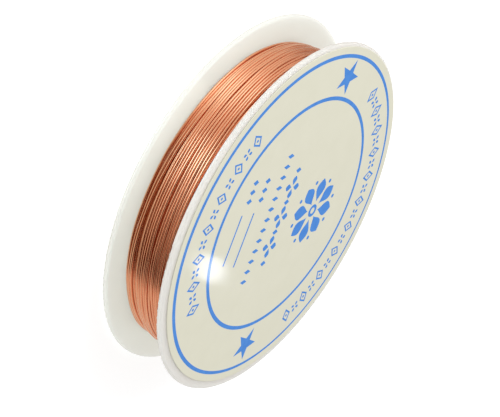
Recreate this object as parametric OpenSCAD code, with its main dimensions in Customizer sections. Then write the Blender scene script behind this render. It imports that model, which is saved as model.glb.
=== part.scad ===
// Copper craft wire on a small moulded spool.
// The spool lies on its back flange with the label on top. Its axis is the
// Z axis, and the origin is on the floor, under the middle of the spool. +Y
// points to the top of what is printed on the label.

/* [Flanges] */
// Outside diameter of both flanges
flange_d = 53; // [48:0.5:90]
// Thickness of each flange
flange_t = 0.8; // [0.75:0.05:2]
// Clear width between the flanges, which the wire fills
flange_gap = 8.4; // [5:0.1:30]
// Radius that rounds both edges of each rim
rim_round = 0.35; // [0.1:0.01:0.37]

/* [Hub] */
// Outside diameter of the hub that the wire is wound on
hub_d = 40; // [30:0.5:44]
// Wall of the hub
hub_wall = 1.2; // [0.8:0.1:3]
// Bore of the boss that fits a spindle
bore_d = 10; // [4:0.5:14]
// Wall of the boss around the bore
boss_wall = 1.5; // [0.8:0.1:3]
// Chamfer at the mouth of the bore
bore_chamfer = 0.4; // [0.1:0.1:0.7]

/* [Wire] */
// Diameter of the copper wire
wire_d = 0.4; // [0.2:0.05:1]
// Depth of the wound wire over the hub, next to the flanges
winding_depth = 2.7; // [1.5:0.05:3.5]
// How much deeper the wound wire is midway between the flanges
winding_crown = 0.5; // [0.1:0.05:0.8]
// Clearance between the wire and the plastic around it
winding_clearance = 0.05; // [0.02:0.01:0.1]

/* [Label] */
// Bare rim around the round paper label
label_margin = 0.85; // [0.85:0.05:10]
// Thickness of the label
label_t = 0.12; // [0.05:0.01:0.3]
// How far the label is stuck off centre, along X
label_off_x = -0.4; // [-0.4:0.05:0.4]
// How far the label is stuck off centre, along Y
label_off_y = 0.25; // [-0.25:0.05:0.25]

/* [Hidden] */

// Sides of each turned solid and of the small rounds in its section
$fn = 96;
round_fn = 24;

// Heights above the floor
gap_low_z = flange_t;
gap_high_z = gap_low_z + flange_gap;
spool_h = gap_high_z + flange_t;

// Radii
flange_r = flange_d / 2;
hub_r = hub_d / 2;
pocket_r = hub_r - hub_wall;
bore_r = bore_d / 2;
boss_r = bore_r + boss_wall;
wire_r = wire_d / 2;
winding_inner_r = hub_r + winding_clearance;
winding_r = winding_inner_r + winding_depth;
label_r = flange_r - label_margin;

// Turns of wire that lie side by side across the outer layer
winding_h = flange_gap - 2 * winding_clearance;
winding_low_z = gap_low_z + winding_clearance;
turn_count = floor(winding_h / wire_d);
turn_pitch = (winding_h - wire_d) / (turn_count - 1);

// Radius and height of the middle of the wire in turn i of the outer layer
function turn_centre(i) = [
    winding_r - wire_r + winding_crown * sin(180 * i / (turn_count - 1)),
    winding_low_z + wire_r + i * turn_pitch,
];

// Section of one flange from inner_r out to the rounded rim, with its lower face at z = 0.
module flange_section(inner_r) {
    face_r = flange_r - rim_round;
    translate([inner_r, 0])
        square([face_r - inner_r, flange_t]);
    translate([inner_r, rim_round])
        square([flange_r - inner_r, flange_t - 2 * rim_round]);
    for (z = [rim_round, flange_t - rim_round])
        translate([face_r, z])
            circle(rim_round, $fn = round_fn);
}

// Section of the boss, which hangs from the front flange and has its chamfered mouth below.
module boss_section() {
    polygon([
        [bore_r, spool_h],
        [bore_r, bore_chamfer],
        [bore_r + bore_chamfer, 0],
        [boss_r, 0],
        [boss_r, spool_h],
    ]);
}

// The moulded spool: a closed front flange on top, a hollow hub, an open back flange and a boss.
module spool() {
    color("whitesmoke")
        rotate_extrude() {
            translate([0, gap_high_z])
                flange_section(0);
            flange_section(pocket_r);
            translate([pocket_r, 0])
                square([hub_wall, spool_h]);
            boss_section();
        }
}

// The wound wire: all its layers as one turned solid, whose outer layer shows each turn. The
// solid core under that layer runs through the middle of each turn.
module wire_coil() {
    centres = [for (i = [0 : turn_count - 1]) turn_centre(i)];
    edge_r = centres[0][0];
    high_z = winding_low_z + winding_h;
    color("peru")
        rotate_extrude() {
            polygon(concat(
                [[winding_inner_r, winding_low_z], [edge_r, winding_low_z]],
                centres,
                [[edge_r, high_z], [winding_inner_r, high_z]]));
            for (centre = centres)
                translate(centre)
                    circle(wire_r, $fn = round_fn);
        }
}

// The paper label on the front flange, a little off centre.
module front_label() {
    color("ivory")
        translate([label_off_x, label_off_y, spool_h])
            cylinder(r = label_r, h = label_t);
}

spool();
wire_coil();
front_label();
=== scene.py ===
import math
import bpy
import numpy as np
from mathutils import Matrix, Vector


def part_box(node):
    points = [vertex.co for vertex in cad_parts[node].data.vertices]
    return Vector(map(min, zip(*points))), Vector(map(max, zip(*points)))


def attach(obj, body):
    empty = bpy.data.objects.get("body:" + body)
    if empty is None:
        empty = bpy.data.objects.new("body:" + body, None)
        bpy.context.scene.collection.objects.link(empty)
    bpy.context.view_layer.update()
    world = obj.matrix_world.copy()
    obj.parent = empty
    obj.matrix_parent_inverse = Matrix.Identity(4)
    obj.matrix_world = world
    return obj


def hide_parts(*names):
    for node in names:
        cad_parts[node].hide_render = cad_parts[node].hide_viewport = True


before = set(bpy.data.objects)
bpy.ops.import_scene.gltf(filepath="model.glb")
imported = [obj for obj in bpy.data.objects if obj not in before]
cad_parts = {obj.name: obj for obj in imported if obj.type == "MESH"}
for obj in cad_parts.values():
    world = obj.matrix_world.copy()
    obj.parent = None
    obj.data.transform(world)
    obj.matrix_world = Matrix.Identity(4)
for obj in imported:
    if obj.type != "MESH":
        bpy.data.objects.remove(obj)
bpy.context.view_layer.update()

# A small flat spool of copper craft wire that lies on its open back flange, label up. +X is to the
# right of the print, +Y to its top.

MM = 0.001
TAU = 2 * math.pi


# ------------------------------------------------------------ sizes from the frame

COIL_LOW, COIL_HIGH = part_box("wire_coil")
LABEL_LOW, LABEL_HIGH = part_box("front_label")
FLANGE_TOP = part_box("spool")[1].z

COIL_R = COIL_HIGH.y
COIL_CROWN = 0.5 * MM
COIL_EDGE_R = COIL_R - COIL_CROWN
COIL_BORE_R = 20.05 * MM
COIL_WIDTH = COIL_HIGH.z - COIL_LOW.z

LABEL_X = (LABEL_LOW.x + LABEL_HIGH.x) / 2
LABEL_Y = (LABEL_LOW.y + LABEL_HIGH.y) / 2
LABEL_R = (LABEL_HIGH.x - LABEL_LOW.x) / 2

# The ink ends flush with the top of the label's solid. It starts one ink thickness inside the
# paper, so no two faces lie in one plane.
INK_T = 0.006 * MM
INK_TOP = LABEL_HIGH.z
PAPER_TOP = INK_TOP - INK_T
INK_LOW = PAPER_TOP - INK_T


# ------------------------------------------------------------ meshes

def grid_faces(rows, columns, close_columns=False, close_rows=False):
    """Four-sided faces of a grid of points that is numbered row by row. Closed columns join the
    last point of each row to its first, and closed rows join the last row to the first."""
    i = np.arange(rows if close_rows else rows - 1)[:, None]
    j = np.arange(columns if close_columns else columns - 1)[None, :]
    here, below = i * columns, (i + 1) % rows * columns
    right = (j + 1) % columns
    corners = (here + j, here + right, below + right, below + j)
    return np.stack(corners, -1).reshape(-1, 4)


def fan_faces(middle, ring, outwards=True):
    """Triangles from one middle point to each edge of a closed ring of points."""
    after = np.roll(ring, -1)
    ends = (ring, after) if outwards else (after, ring)
    return np.stack((np.full(len(ring), middle), *ends), -1)


def grid_uv(u, v):
    """One (u, v) pair for each point of a grid, from two arrays that broadcast to that grid."""
    return np.stack(np.broadcast_arrays(u, v), -1).reshape(-1, 2)


def new_piece(name, points, faces, material, slot, uv=None, smooth=True):
    """Puts arrays of points and faces into a mesh that rides on the spool. uv holds two numbers
    for each point."""
    mesh = bpy.data.meshes.new(name)
    mesh.from_pydata(points.reshape(-1, 3).tolist(), [], [f for part in faces for f in part.tolist()])
    mesh.polygons.foreach_set("use_smooth", np.full(len(mesh.polygons), smooth))
    if uv is not None:
        corner_points = np.empty(len(mesh.loops), np.int32)
        mesh.loops.foreach_get("vertex_index", corner_points)
        layer = mesh.uv_layers.new(name="UVMap")
        layer.data.foreach_set("uv", uv[corner_points].astype(np.float32).ravel())
    mesh.materials.append(material)
    mesh.update()
    piece = bpy.data.objects.new(name, mesh)
    bpy.context.scene.collection.objects.link(piece)
    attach(piece, "root")
    return piece


def revolved(radius, height, angle):
    """Rings of points: each radius and height of a profile, carried round the Z axis."""
    radius, height = radius[:, None], height[:, None]
    return np.stack((radius * np.cos(angle), radius * np.sin(angle), height + 0 * angle), -1)


def turned(profile, sides):
    """Carries a profile of radius and height once round the Z axis. Both of its ends lie on the
    axis, and each closes there in one point."""
    radius, height = np.asarray(profile, float).T
    angle = np.linspace(0, TAU, sides, endpoint=False)
    rings = revolved(radius[1:-1], height[1:-1], angle)
    poles = np.array(((0, 0, height[0]), (0, 0, height[-1])))
    rows = len(radius) - 2
    first = np.arange(sides)
    low_pole = rows * sides
    faces = [grid_faces(rows, sides, close_columns=True),
             fan_faces(low_pole, first, outwards=False),
             fan_faces(low_pole + 1, low_pole - sides + first)]
    return np.concatenate((rings.reshape(-1, 3), poles)), faces


def stacked(outlines, heights):
    """Rows of points: each outline, laid flat at its height. All have the same number of points."""
    return np.concatenate([np.column_stack((outline, np.full(len(outline), z)))
                           for outline, z in zip(outlines, heights)])


def prism(outline, low, high):
    """Stands a closed outline, drawn anticlockwise, up from low to high as a flat slab."""
    count = len(outline)
    faces = [grid_faces(2, count, close_columns=True),
             np.arange(count, 2 * count)[None, :],
             np.arange(count)[::-1][None, :]]
    return stacked((outline, outline), (low, high)), faces


def joined(shapes):
    """Puts several (points, faces) shapes into one pair of arrays."""
    points, faces, start = [], [], 0
    for shape_points, shape_faces in shapes:
        points.append(shape_points)
        faces += [f + start for f in shape_faces]
        start += len(shape_points)
    return np.concatenate(points), faces


# ------------------------------------------------------------ materials

# Sockets of the Mix node for colours go by number, because their names repeat.
FACTOR, COLOUR_A, COLOUR_B, MIXED = 0, 6, 7, 2


def srgb(code):
    """Linear colour of an sRGB hex code."""
    channels = (int(code[k:k + 2], 16) / 255 for k in (1, 3, 5))
    return (*(c / 12.92 if c <= 0.04045 else ((c + 0.055) / 1.055) ** 2.4 for c in channels), 1.0)


def grey(level):
    """Colour of one level in all three channels."""
    return (level, level, level, 1.0)


def node(tree, kind, inputs=None, **settings):
    """Adds a node with its settings. An input is a value, or the output socket it is linked to."""
    made = tree.nodes.new(kind)
    for key, value in settings.items():
        setattr(made, key, value)
    for key, value in (inputs or {}).items():
        if isinstance(value, bpy.types.NodeSocket):
            tree.links.new(value, made.inputs[key])
        else:
            made.inputs[key].default_value = value
    return made


def new_material(name):
    """An empty material and its node tree."""
    material = bpy.data.materials.new(name)
    material.use_nodes = True
    material.node_tree.nodes.clear()
    return material, material.node_tree


def drawn_copper():
    """Bright copper wire, drawn through dies: a clean, deep salmon metal. The dies leave fine
    lines along the wire that differ in gloss, about 20 round it and 17 mm long, drawn coarse
    enough to show. Its tone drifts over a centimetre or two of wire. The piece's UV map runs in
    metres along the wire and from 0 to 1 round it."""
    line_scale = (60, 20, 1)
    drift_scale = (70, 0.5, 1)
    material, tree = new_material("drawn copper")
    uv = node(tree, "ShaderNodeUVMap", uv_map="UVMap").outputs[0]
    drift = node(tree, "ShaderNodeMapping", {"Vector": uv, "Scale": drift_scale}).outputs[0]
    tone = node(tree, "ShaderNodeTexNoise", {"Vector": drift, "Scale": 1.0, "Detail": 2.0}).outputs[0]
    colour = node(tree, "ShaderNodeMix", {FACTOR: tone, COLOUR_A: srgb("#EAA37C"),
                                          COLOUR_B: srgb("#F5B28B")}, data_type="RGBA")
    lines = node(tree, "ShaderNodeMapping", {"Vector": uv, "Scale": line_scale}).outputs[0]
    grain = node(tree, "ShaderNodeTexNoise", {"Vector": lines, "Scale": 1.0, "Detail": 1.0}).outputs[0]
    rough = node(tree, "ShaderNodeMapRange", {"Value": grain, "To Min": 0.1, "To Max": 0.2})
    shader = node(tree, "ShaderNodeBsdfPrincipled",
                  {"Base Color": colour.outputs[MIXED], "Metallic": 1.0, "Roughness": rough.outputs[0]})
    node(tree, "ShaderNodeOutputMaterial", {"Surface": shader.outputs[0]})
    return material


def moulded_polypropylene():
    """Natural polypropylene, injection moulded: white with a trace of grey, satin, and a little
    light passes into it. Flow marks about 8 mm long change its tone a little, and its skin has
    an even texture of about 0.4 mm."""
    flow_scale, skin_scale = 120.0, 2500.0
    material, tree = new_material("moulded polypropylene")
    place = node(tree, "ShaderNodeTexCoord").outputs["Object"]
    flow = node(tree, "ShaderNodeTexNoise", {"Vector": place, "Scale": flow_scale, "Detail": 3.0})
    colour = node(tree, "ShaderNodeMix", {FACTOR: flow.outputs[0], COLOUR_A: srgb("#CFD3C7"),
                                          COLOUR_B: srgb("#D5D9CD")}, data_type="RGBA")
    skin = node(tree, "ShaderNodeTexNoise", {"Vector": place, "Scale": skin_scale, "Detail": 2.0})
    bump = node(tree, "ShaderNodeBump",
                {"Height": skin.outputs[0], "Strength": 0.05, "Distance": 0.02 * MM})
    shader = node(tree, "ShaderNodeBsdfPrincipled",
                  {"Base Color": colour.outputs[MIXED], "Roughness": 0.38, "IOR": 1.49,
                   "Normal": bump.outputs[0], "Subsurface Weight": 1.0,
                   "Subsurface Radius": (1.0, 1.0, 0.95), "Subsurface Scale": 8.0 * MM})
    node(tree, "ShaderNodeOutputMaterial", {"Surface": shader.outputs[0]})
    return material


# A thin gloss varnish lies over paper and ink alike, and all their gloss comes from it.
VARNISH = {"Specular IOR Level": 0.0, "Coat Weight": 0.2, "Coat Roughness": 0.06, "Coat IOR": 1.45}


def label_paper():
    """Coated label paper under its varnish: warm cream, with faint mottling of about 3 mm."""
    mottle_scale = 350.0
    material, tree = new_material("coated label paper")
    place = node(tree, "ShaderNodeTexCoord").outputs["Object"]
    mottle = node(tree, "ShaderNodeTexNoise", {"Vector": place, "Scale": mottle_scale, "Detail": 5.0})
    colour = node(tree, "ShaderNodeMix", {FACTOR: mottle.outputs[0], COLOUR_A: srgb("#D8D6C3"),
                                          COLOUR_B: srgb("#DEDCCA")}, data_type="RGBA")
    shader = node(tree, "ShaderNodeBsdfPrincipled",
                  {"Base Color": colour.outputs[MIXED], "Roughness": 0.55, **VARNISH})
    node(tree, "ShaderNodeOutputMaterial", {"Surface": shader.outputs[0]})
    return material


def printing_ink():
    """Blue offset ink on the label: one flat process blue, whose film is slightly uneven over
    about 1 mm."""
    film_scale = 900.0
    material, tree = new_material("blue printing ink")
    place = node(tree, "ShaderNodeTexCoord").outputs["Object"]
    film = node(tree, "ShaderNodeTexNoise", {"Vector": place, "Scale": film_scale, "Detail": 3.0})
    colour = node(tree, "ShaderNodeMix", {FACTOR: film.outputs[0], COLOUR_A: srgb("#417CCC"),
                                          COLOUR_B: srgb("#5996E0")}, data_type="RGBA")
    shader = node(tree, "ShaderNodeBsdfPrincipled",
                  {"Base Color": colour.outputs[MIXED], "Roughness": 0.5, **VARNISH})
    node(tree, "ShaderNodeOutputMaterial", {"Surface": shader.outputs[0]})
    return material


# ------------------------------------------------------------ the wire

WIRE_D = 0.4 * MM
WIRE_R = WIRE_D / 2
COIL_Z0 = COIL_LOW.z + WIRE_R
COIL_Z1 = COIL_HIGH.z - WIRE_R
STEPS_PER_TURN = 240
TUBE_SIDES = 18

# Waves of the wound wire, in cycles to the turn.
SHARED_WAVES = (1, 2, 3, 5)
STRAY_WAVES = (0.37, 0.53, 0.83, 1.61, 2.43, 3.71, 6.29)
BEND_WAVES = (5.3, 8.9, 14.7, 23.1)

CLOSEST_PITCH = 0.985 * WIRE_D
SPREADING_PASSES = 160
DIP_TURNS = 0.1


def crest(height):
    """Radius over the wound wire at a height: the radius next to the flanges, plus half a sine
    wave that is one crown high midway between them."""
    share = np.clip((height - COIL_LOW.z) / COIL_WIDTH, 0, 1)
    return COIL_EDGE_R + COIL_CROWN * np.sin(math.pi * share)


def waves(turn, cycles, rng):
    """Sum of sine waves with the given cycles in each turn and random phases. The slower ones
    are the taller ones."""
    return sum(np.sin(TAU * (c * turn + rng.random())) / math.sqrt(c) for c in cycles)


def laid_heights(turn, turns, swing, stray, rng):
    """Height of the wire's middle along a helix: an even climb, waves that all turns share
    (swing) and waves that differ from turn to turn (stray). Where two turns come closer than
    the closest pitch, both are pushed apart by half of what is missing and the line is smoothed
    with a three-point average, over and over."""
    height = COIL_Z0 + (COIL_Z1 - COIL_Z0) * turn / turns
    height += swing * np.sin(math.pi * turn / turns) * waves(turn, SHARED_WAVES, rng)
    height += stray * waves(turn, STRAY_WAVES, rng)
    for _ in range(SPREADING_PASSES):
        pitch = height[STEPS_PER_TURN:] - height[:-STEPS_PER_TURN]
        missing = np.clip(CLOSEST_PITCH - pitch, 0, None) / 2
        height[STEPS_PER_TURN:] += missing
        height[:-STEPS_PER_TURN] -= missing
        height[1:-1] = (height[:-2] + 2 * height[1:-1] + height[2:]) / 4
        height = np.clip(height, COIL_Z0, COIL_Z1)
    return height


def bends(turn, slope, rng):
    """Small waves of the wire in and out, as wound wire is never quite round. Each wave has the
    same steepest slope, so the longer ones are the taller ones."""
    return sum(slope * COIL_R / c * np.sin(TAU * (c * turn + rng.random())) for c in BEND_WAVES)


def sunk_ends(turn, turns):
    """Depth by which the wire dips into the layer under it: one wire at each of its ends, and
    from there to nothing over a tenth of a turn, as half a cosine wave."""
    share = np.clip(np.minimum(turn, turns - turn) / DIP_TURNS, 0, 1)
    return WIRE_D * (1 + np.cos(math.pi * share)) / 2


def wire_layer(name, material, turns, depth, seed, swing, stray, slope):
    """One layer of wound wire: a circle swept along a helix that lies depth under the crest of
    the winding, with small bends in and out, and dips into the layer under it at both ends."""
    rng = np.random.default_rng(seed)
    rows = turns * STEPS_PER_TURN + 1
    turn = np.arange(rows) / STEPS_PER_TURN
    height = laid_heights(turn, turns, swing, stray, rng)
    radius = crest(height) - WIRE_R - depth + bends(turn, slope, rng) - sunk_ends(turn, turns)
    angle = TAU * turn
    line = np.stack((radius * np.cos(angle), radius * np.sin(angle), height), -1)
    section = np.linspace(0, TAU, TUBE_SIDES, endpoint=False)
    reach = radius[:, None] + WIRE_R * np.cos(section)
    tube = np.stack((reach * np.cos(angle)[:, None], reach * np.sin(angle)[:, None],
                     height[:, None] - WIRE_R * np.sin(section)), -1)
    points = np.concatenate((tube.reshape(-1, 3), line[[0, -1]]))
    first = np.arange(TUBE_SIDES)
    start_tip = rows * TUBE_SIDES
    faces = [grid_faces(rows, TUBE_SIDES, close_columns=True),
             fan_faces(start_tip, first, outwards=False),
             fan_faces(start_tip + 1, start_tip - TUBE_SIDES + first)]
    uv = grid_uv(angle[:, None] * COIL_R, section / TAU)
    return new_piece(name, points, faces, material, "copper", np.concatenate((uv, uv[[0, -1]])))


def inner_layers(material, depth):
    """The wire under the outer two layers, as a closed turned ring. Its outside is a row of
    half-round turns that lie depth under the crest, and its inside is the coil's bore."""
    sides, turns, steps = 180, 20, 8
    turn = np.linspace(0, turns, turns * steps + 1)
    height = COIL_LOW.z + COIL_WIDTH * turn / turns
    radius = crest(height) - depth - WIRE_R * (1 - np.abs(np.sin(math.pi * turn)))
    radius = np.concatenate(([COIL_BORE_R], radius, [COIL_BORE_R]))
    height = np.concatenate(([COIL_LOW.z], height, [COIL_HIGH.z]))
    rows = len(radius)
    angle = np.linspace(0, TAU, sides, endpoint=False)
    points = revolved(radius, height, angle)
    faces = [grid_faces(rows, sides, close_columns=True, close_rows=True)]
    uv = grid_uv(angle * COIL_R, np.arange(rows)[:, None] / steps)
    return new_piece("wire_inner_layers", points, faces, material, "copper", uv)


def winding():
    """The outer layer is laid loosely and strays. The second shows in its gaps, and the rest
    fills the spool under both."""
    copper = drawn_copper()
    outer = wire_layer("wire_outer_layer", copper, turns=18, depth=0.05 * MM, seed=70,
                       swing=0.2 * MM, stray=0.5 * MM, slope=0.012)
    wire_layer("wire_second_layer", copper, turns=19, depth=0.9 * WIRE_D, seed=5,
               swing=0.03 * MM, stray=0.03 * MM, slope=0.003)
    inner_layers(copper, depth=1.75 * WIRE_D)
    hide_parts("wire_coil")


# ------------------------------------------------------------ outlines of the print

def polar(radius, degrees, x=0.0, y=0.0):
    """Points at a radius and an angle from +X, about a centre."""
    angle = np.radians(degrees)
    return np.column_stack((x + radius * np.cos(angle), y + radius * np.sin(angle)))


def polar_point(radius, degrees, x, y):
    """One point at a radius and an angle from +X, about a centre."""
    return polar(np.array([radius]), degrees, x, y)[0]


def placed(outline, x, y, degrees=0.0):
    """Turns an outline about its own origin and moves it to x, y."""
    angle = math.radians(degrees)
    turn = np.array(((math.cos(angle), math.sin(angle)), (-math.sin(angle), math.cos(angle))))
    return outline @ turn + (x, y)


def star_outline(outer_r):
    """Five-pointed star with one point along +Y: corners at two radii in turn."""
    inner_r = 0.40 * outer_r
    corner = np.arange(10)
    return polar(np.where(corner % 2 == 0, outer_r, inner_r), 90 + 36 * corner)


def petal_outline(inner_r, outer_r, width):
    """Pointed petal along +Y. Its half width follows half a sine wave from one tip to the other,
    with its widest place moved outwards by a power of the way along."""
    steps, power = 12, 1.35
    way = np.linspace(0, 1, steps + 1)
    along = inner_r + (outer_r - inner_r) * way
    half = width / 2 * np.sin(math.pi * way ** power)
    right = np.column_stack((half, along))
    return np.concatenate((right, right[-2:0:-1] * (-1, 1)))


def lozenge_outline(width, height):
    """Corners in the middle of each side of a width by height box."""
    return np.array(((width / 2, 0), (0, height / 2), (-width / 2, 0), (0, -height / 2)))


def bar_outline(length, thickness):
    """Corners of a length by thickness box."""
    x, y = length / 2, thickness / 2
    return np.array(((x, -y), (x, y), (-x, y), (-x, -y)))


def dot_outline(radius):
    """Points evenly round a circle."""
    corners = 12
    return polar(radius, 360 / corners * np.arange(corners))


# ------------------------------------------------------------ inked shapes

PRINT_X, PRINT_Y = -0.61 * MM, 0.39 * MM
SMALL_LOZENGE = lozenge_outline(width=0.9 * MM, height=1.4 * MM)
TALL_LOZENGE = lozenge_outline(width=0.75 * MM, height=1.7 * MM)


def ink(outline):
    """A solid patch of ink."""
    return prism(outline, INK_LOW, INK_TOP)


def hollow(outer, inner):
    """Inks the band between two closed outlines that have the same number of points."""
    points = stacked((inner, outer, outer, inner), (INK_LOW, INK_LOW, INK_TOP, INK_TOP))
    return points, [grid_faces(4, len(outer), close_columns=True, close_rows=True)]


def ring_shape(x, y, inner_r, outer_r, lean_x=0.0, lean_y=0.0, sides=240):
    """A flat closed ring. Its inner circle is moved by the lean, which makes the line thinner on
    that side."""
    degrees = np.linspace(0, 360, sides, endpoint=False)
    return hollow(polar(outer_r, degrees, x, y), polar(inner_r, degrees, x + lean_x, y + lean_y))


def lozenge_ring(x, y, degrees):
    """Outline of a lozenge with a dot in its middle."""
    outer = lozenge_outline(width=1.84 * MM, height=2.8 * MM)
    inner = lozenge_outline(width=1.2 * MM, height=1.82 * MM)
    dot = dot_outline(radius=0.22 * MM)
    return [hollow(placed(outer, x, y, degrees), placed(inner, x, y, degrees)), ink(placed(dot, x, y))]


def blossom(x, y, degrees, inner_r, outer_r, width, petals=4):
    """Solid petals round an open middle."""
    petal = petal_outline(inner_r, outer_r, width)
    return [ink(placed(petal, x, y, degrees + 360 / petals * k)) for k in range(petals)]


def row(outline, y, places):
    """The same outline at several places along one line of print. y and the places are in
    millimetres."""
    return [ink(placed(outline, PRINT_X + x * MM, y * MM)) for x in places]


def stars():
    """A star at each side of the band, a little above its middle."""
    band_r = 20.95 * MM
    star = star_outline(outer_r=2.75 * MM)
    spots = [polar_point(band_r, degrees, PRINT_X, PRINT_Y) for degrees in (6.6, 173.4)]
    return [ink(placed(star, *spot)) for spot in spots]


def band_ornament(first, last, count, radius):
    """Lozenges and blossoms in turn, evenly along an arc of the printed band. Each turns with
    the band."""
    shapes = []
    for k, degrees in enumerate(np.linspace(first, last, count)):
        x, y = polar_point(radius, degrees, PRINT_X, PRINT_Y)
        if k % 2 == 0:
            shapes += lozenge_ring(x, y, degrees - 90)
        else:
            shapes += blossom(x, y, degrees - 45, inner_r=0.16 * MM, outer_r=0.95 * MM,
                              width=0.5 * MM)
    return shapes


def rosette(x, y):
    """Eight solid petals round a small ring, and a dot between each two."""
    petals, dots_r = 8, 4.9 * MM
    dot = dot_outline(radius=0.32 * MM)
    spots = [polar_point(dots_r, 360 / petals * (k + 0.5), x, y) for k in range(petals)]
    shapes = blossom(x, y, 0, inner_r=1.4 * MM, outer_r=5.1 * MM, width=2.3 * MM, petals=petals)
    shapes += [ink(placed(dot, *spot)) for spot in spots]
    shapes.append(ring_shape(x, y, inner_r=0.5 * MM, outer_r=1.0 * MM, sides=32))
    return shapes


def divider():
    """Three blossoms in a line, with lozenges between and beside them."""
    y = -1.3
    shapes = []
    for x in (-4.6, 0, 4.6):
        shapes += blossom(PRINT_X + x * MM, y * MM, 0, inner_r=0.25 * MM, outer_r=1.75 * MM,
                          width=1.05 * MM)
    return shapes + row(SMALL_LOZENGE, y, (-7.2, -2.3, 2.3, 7.2))


def write_on_rules():
    """Two thin rules to write on, each with three lozenges before it."""
    thickness = 0.3 * MM
    shapes = []
    for length, x, y in ((8.2, 1.95, -9.5), (7.6, 1.7, -12.5)):
        shapes.append(ink(placed(bar_outline(length * MM, thickness), x * MM, y * MM)))
    for y in (-8.9, -12.0):
        shapes += row(SMALL_LOZENGE, y, (-6.3, -4.9, -3.5))
    return shapes


# ------------------------------------------------------------ the label

def paper_disc(paper):
    """A thin turned disc with a small bevel at both of its rims."""
    bevel = 0.03 * MM
    low, top = FLANGE_TOP, PAPER_TOP
    profile = [(0, low), (LABEL_R - bevel, low), (LABEL_R, low + bevel), (LABEL_R, top - bevel),
               (LABEL_R - bevel, top), (LABEL_R - 2 * bevel, top), (LABEL_R / 2, top), (0, top)]
    points, faces = turned(profile, sides=256)
    disc = new_piece("label_disc", points + (LABEL_X, LABEL_Y, 0), faces, paper, "label_paper")
    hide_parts("front_label")
    return disc


def label():
    """The paper disc and the generic print on it. Returns all of its pieces."""
    paper = label_paper()
    blue = printing_ink()
    pieces = [paper_disc(paper)]
    outer_ring = ring_shape(LABEL_X - 0.05 * MM, LABEL_Y - 0.08 * MM, inner_r=24.02 * MM,
                            outer_r=24.54 * MM, lean_x=0.04 * MM, lean_y=0.14 * MM)
    inner_ring = ring_shape(-0.79 * MM, 0.52 * MM, inner_r=17.34 * MM, outer_r=17.92 * MM,
                            lean_x=0.01 * MM, lean_y=0.05 * MM)
    prints = {
        "print_outer_ring": [outer_ring],
        "print_inner_ring": [inner_ring],
        "print_stars": stars(),
        "print_upper_ornament": band_ornament(146, 34, count=21, radius=21.3 * MM),
        "print_lower_ornament": band_ornament(232, 306, count=13, radius=20.6 * MM),
        "print_rosette": rosette(PRINT_X, 7.6 * MM),
        "print_divider": divider(),
        "print_lozenge_row": row(TALL_LOZENGE, -5.0, np.arange(-9.6, 9.7, 1.6)),
        "print_write_on_rules": write_on_rules(),
    }
    for name, shapes in prints.items():
        pieces.append(new_piece(name, *joined(shapes), blue, "label_paper", smooth=False))
    return pieces


# ------------------------------------------------------------ the spool

def spool():
    """The moulding keeps its shape from the frame and gets its material here."""
    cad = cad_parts["spool"]
    cad.data.materials.clear()
    cad.data.materials.append(moulded_polypropylene())


# ------------------------------------------------------------ camera, floor and lamps

def camera():
    """A long lens that looks down at the spool from the front left and is rolled onto its side."""
    azimuth, elevation, roll = (math.radians(a) for a in (-19.85, 25.02, -119.44))
    aim = Vector((0.17, -2.19, 5.70)) * MM
    distance_mm = 275.1
    back = Vector((math.sin(azimuth) * math.cos(elevation),
                   -math.cos(azimuth) * math.cos(elevation), math.sin(elevation)))
    level = back.cross(Vector((0, 0, 1))).normalized() * -1
    above = back.cross(level)
    up = math.cos(roll) * above + math.sin(roll) * level
    right = math.cos(roll) * level - math.sin(roll) * above
    lens = bpy.data.cameras.new("camera")
    lens.lens = 144.0
    lens.clip_start = 0.01
    eye = bpy.data.objects.new("camera", lens)
    place = Matrix((right, up, back)).transposed().to_4x4()
    place.translation = aim + back * distance_mm * MM
    eye.matrix_world = place
    bpy.context.scene.collection.objects.link(eye)
    bpy.context.scene.camera = eye
    return place.translation


def floor():
    """A luminous white table, just under the spool. Nothing glossy mirrors it."""
    half, z = 1.5, -0.02 * MM
    material, tree = new_material("white table")
    shader = node(tree, "ShaderNodeBsdfPrincipled",
                  {"Base Color": srgb("#BCBCBC"), "Roughness": 0.9, "Emission Color": grey(1.0),
                   "Emission Strength": 0.68})
    node(tree, "ShaderNodeOutputMaterial", {"Surface": shader.outputs[0]})
    mesh = bpy.data.meshes.new("floor")
    corners = [(-half, -half, z), (half, -half, z), (half, half, z), (-half, half, z)]
    mesh.from_pydata(corners, [], [(0, 1, 2, 3)])
    mesh.materials.append(material)
    plane = bpy.data.objects.new("floor", mesh)
    bpy.context.scene.collection.objects.link(plane)
    plane.visible_glossy = False


def area_lamp(name, size, power, place, direction):
    """Adds an area lamp at a place. It shines against the direction, so with the direction from
    the spool to the lamp it faces the spool."""
    lamp = bpy.data.lights.new(name, "AREA")
    lamp.energy, lamp.size = power, size
    holder = bpy.data.objects.new(name, lamp)
    holder.location = place
    holder.rotation_euler = direction.to_track_quat("Z", "Y").to_euler()
    bpy.context.scene.collection.objects.link(holder)
    return holder


def soft_lamp(name, azimuth, elevation, distance, size, power):
    """A square soft lamp that faces the spool from an azimuth and elevation in degrees. Bright
    metal doesn't mirror it: it mirrors the panels of the studio."""
    a, e = math.radians(azimuth), math.radians(elevation)
    direction = Vector((math.cos(a) * math.cos(e), math.sin(a) * math.cos(e), math.sin(e)))
    holder = area_lamp(name, size, power, direction * distance, direction)
    holder.visible_glossy = False


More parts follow.
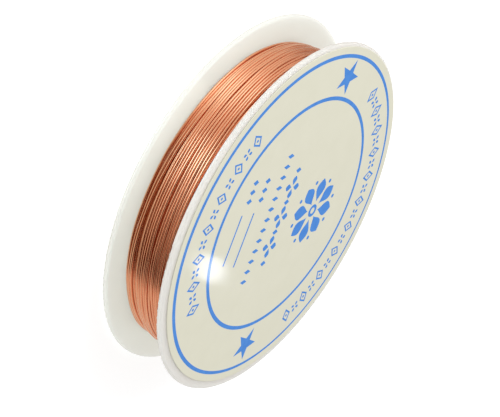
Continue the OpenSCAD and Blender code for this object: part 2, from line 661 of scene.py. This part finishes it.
def glint(eye, x, y, distance, width, power, varnished):
    """A small round lamp, set where the label's varnish mirrors it to the eye from one spot: on
    the line from the eye's mirror image through that spot, at a distance behind it. It shines
    on the varnished pieces alone."""
    bluish_white = (0.8, 0.84, 1.0)
    spot = Vector((x, y, LABEL_HIGH.z))
    mirrored_eye = Vector((eye.x, eye.y, 2 * LABEL_HIGH.z - eye.z))
    ray = (spot - mirrored_eye).normalized()
    holder = area_lamp("small_lamp", width, power, spot + ray * distance, ray)
    holder.data.shape = "DISK"
    holder.data.color = bluish_white
    lit_pieces = bpy.data.collections.new("lit_by_small_lamp")
    for piece in varnished:
        lit_pieces.objects.link(piece)
    holder.light_linking.receiver_collection = lit_pieces


# ------------------------------------------------------------ the studio by direction

# Brightness round the compass: degrees from +X, and the brightness there. The low panels lie in
# directions that point down, and the high ones in all the others.
LOW_PANELS = ((0, 0.8), (20, 0.72), (40, 0.45), (103, 0.35), (110, 0.1), (118, 0.25), (133, 0.85),
              (157, 0.7), (169, 0.75), (193, 0.33), (205, 0.6), (217, 0.97), (223, 1.4), (235, 2.8),
              (244, 3.0), (253, 2.55), (265, 1.7), (272, 1.3), (289, 0.84), (313, 0.44),
              (334, 0.17), (343, 0.84))
HIGH_PANELS = ((0, 0.78), (40, 0.78), (92, 0.55), (120, 0.55), (135, 0.68), (157, 0.95),
               (169, 1.17), (181, 1.68), (195, 1.7), (205, 1.1), (217, 0.78), (226, 0.5),
               (242, 0.24), (253, 0.14), (258, 0.3), (262, 0.28), (268, 0.16), (289, 0.15),
               (313, 0.08), (334, 0.04), (343, 0.76))
SOFT_LIGHT = ((0, 0.35), (60, 0.45), (110, 0.6), (150, 0.85), (200, 1.1), (235, 0.7), (280, 0.5),
              (340, 0.4))

# Green and blue are powers of a panel's brightness, so dark panels are warm and bright ones cool.
GREEN_POWER, BLUE_POWER = 1.4, 1.6

# Steepness of a direction, from -1 straight down to 1 straight up, over which one light fades
# into the next: the low panels into the high ones, and the soft light into the roof's.
PANEL_FADE = (-0.42, -0.12)
ROOF_FADE = (0.6, 0.95)
ROOF = 0.45


def set_stops(stops, levels):
    """Lets a colour ramp over the compass run from level to level and back to the first, which is
    at 0 degrees."""
    stops[0].position, stops[1].position = 0.0, 1.0
    stops[0].color = stops[1].color = grey(levels[0][1])
    for azimuth, brightness in levels[1:]:
        stops.new(azimuth / 360).color = grey(brightness)


def sky():
    """The studio round the spool, by direction. Matt surfaces get one soft light, strongest from
    the left, with an even roof. Bright metal mirrors the low and high panels. The camera sees
    plain white."""
    world = bpy.data.worlds.new("studio")
    world.use_nodes = True
    # Rays find the panels by running to them, so the world isn't sampled as a lamp.
    world.cycles.sampling_method = "NONE"
    tree = world.node_tree
    tree.nodes.clear()
    direction = node(tree, "ShaderNodeTexCoord").outputs["Generated"]
    x, y, z = node(tree, "ShaderNodeSeparateXYZ", {0: direction}).outputs
    angle = node(tree, "ShaderNodeMath", {0: y, 1: x}, operation="ARCTAN2").outputs[0]
    share = node(tree, "ShaderNodeMath", {0: angle, 1: TAU}, operation="DIVIDE").outputs[0]
    share = node(tree, "ShaderNodeMath", {0: share, 1: 1.0}, operation="FLOORED_MODULO").outputs[0]
    ramps = [node(tree, "ShaderNodeValToRGB", {0: share}) for _ in range(3)]
    for ramp, levels in zip(ramps, (LOW_PANELS, HIGH_PANELS, SOFT_LIGHT)):
        set_stops(ramp.color_ramp.elements, levels)
    low, high, soft = (ramp.outputs[0] for ramp in ramps)
    rise, roof = (node(tree, "ShaderNodeMapRange", {"Value": z, "From Min": start, "From Max": end},
                       interpolation_type="SMOOTHSTEP").outputs[0]
                  for start, end in (PANEL_FADE, ROOF_FADE))
    panels = node(tree, "ShaderNodeMix", {FACTOR: rise, COLOUR_A: low, COLOUR_B: high},
                  data_type="RGBA").outputs[MIXED]
    greens, blues = (node(tree, "ShaderNodeMath", {0: panels, 1: power}, operation="POWER").outputs[0]
                     for power in (GREEN_POWER, BLUE_POWER))
    mirrored = node(tree, "ShaderNodeCombineColor", {0: panels, 1: greens, 2: blues}).outputs[0]
    lit = node(tree, "ShaderNodeMix", {FACTOR: roof, COLOUR_A: soft, COLOUR_B: grey(ROOF)},
               data_type="RGBA").outputs[MIXED]
    path = node(tree, "ShaderNodeLightPath").outputs
    felt = node(tree, "ShaderNodeMix", {FACTOR: path["Is Glossy Ray"], COLOUR_A: lit,
                                        COLOUR_B: mirrored}, data_type="RGBA").outputs[MIXED]
    seen = node(tree, "ShaderNodeMix", {FACTOR: path["Is Camera Ray"], COLOUR_A: felt,
                                        COLOUR_B: grey(1.0)}, data_type="RGBA").outputs[MIXED]
    background = node(tree, "ShaderNodeBackground", {"Color": seen})
    node(tree, "ShaderNodeOutputWorld", {"Surface": background.outputs[0]})
    bpy.context.scene.world = world


def studio():
    """Floor, sky and two soft lamps on the spool's left, shown with plain tones."""
    floor()
    sky()
    soft_lamp("upper_left_light", azimuth=168, elevation=42, distance=0.5, size=0.3, power=1.35)
    soft_lamp("lower_left_light", azimuth=278, elevation=38, distance=0.6, size=0.3, power=1.0)
    bpy.context.scene.view_settings.view_transform = "Standard"


eye = camera()
studio()
spool()
winding()
glint(eye, x=5.4 * MM, y=-15.7 * MM, distance=0.3, width=7.6 * MM, power=0.0033, varnished=label())
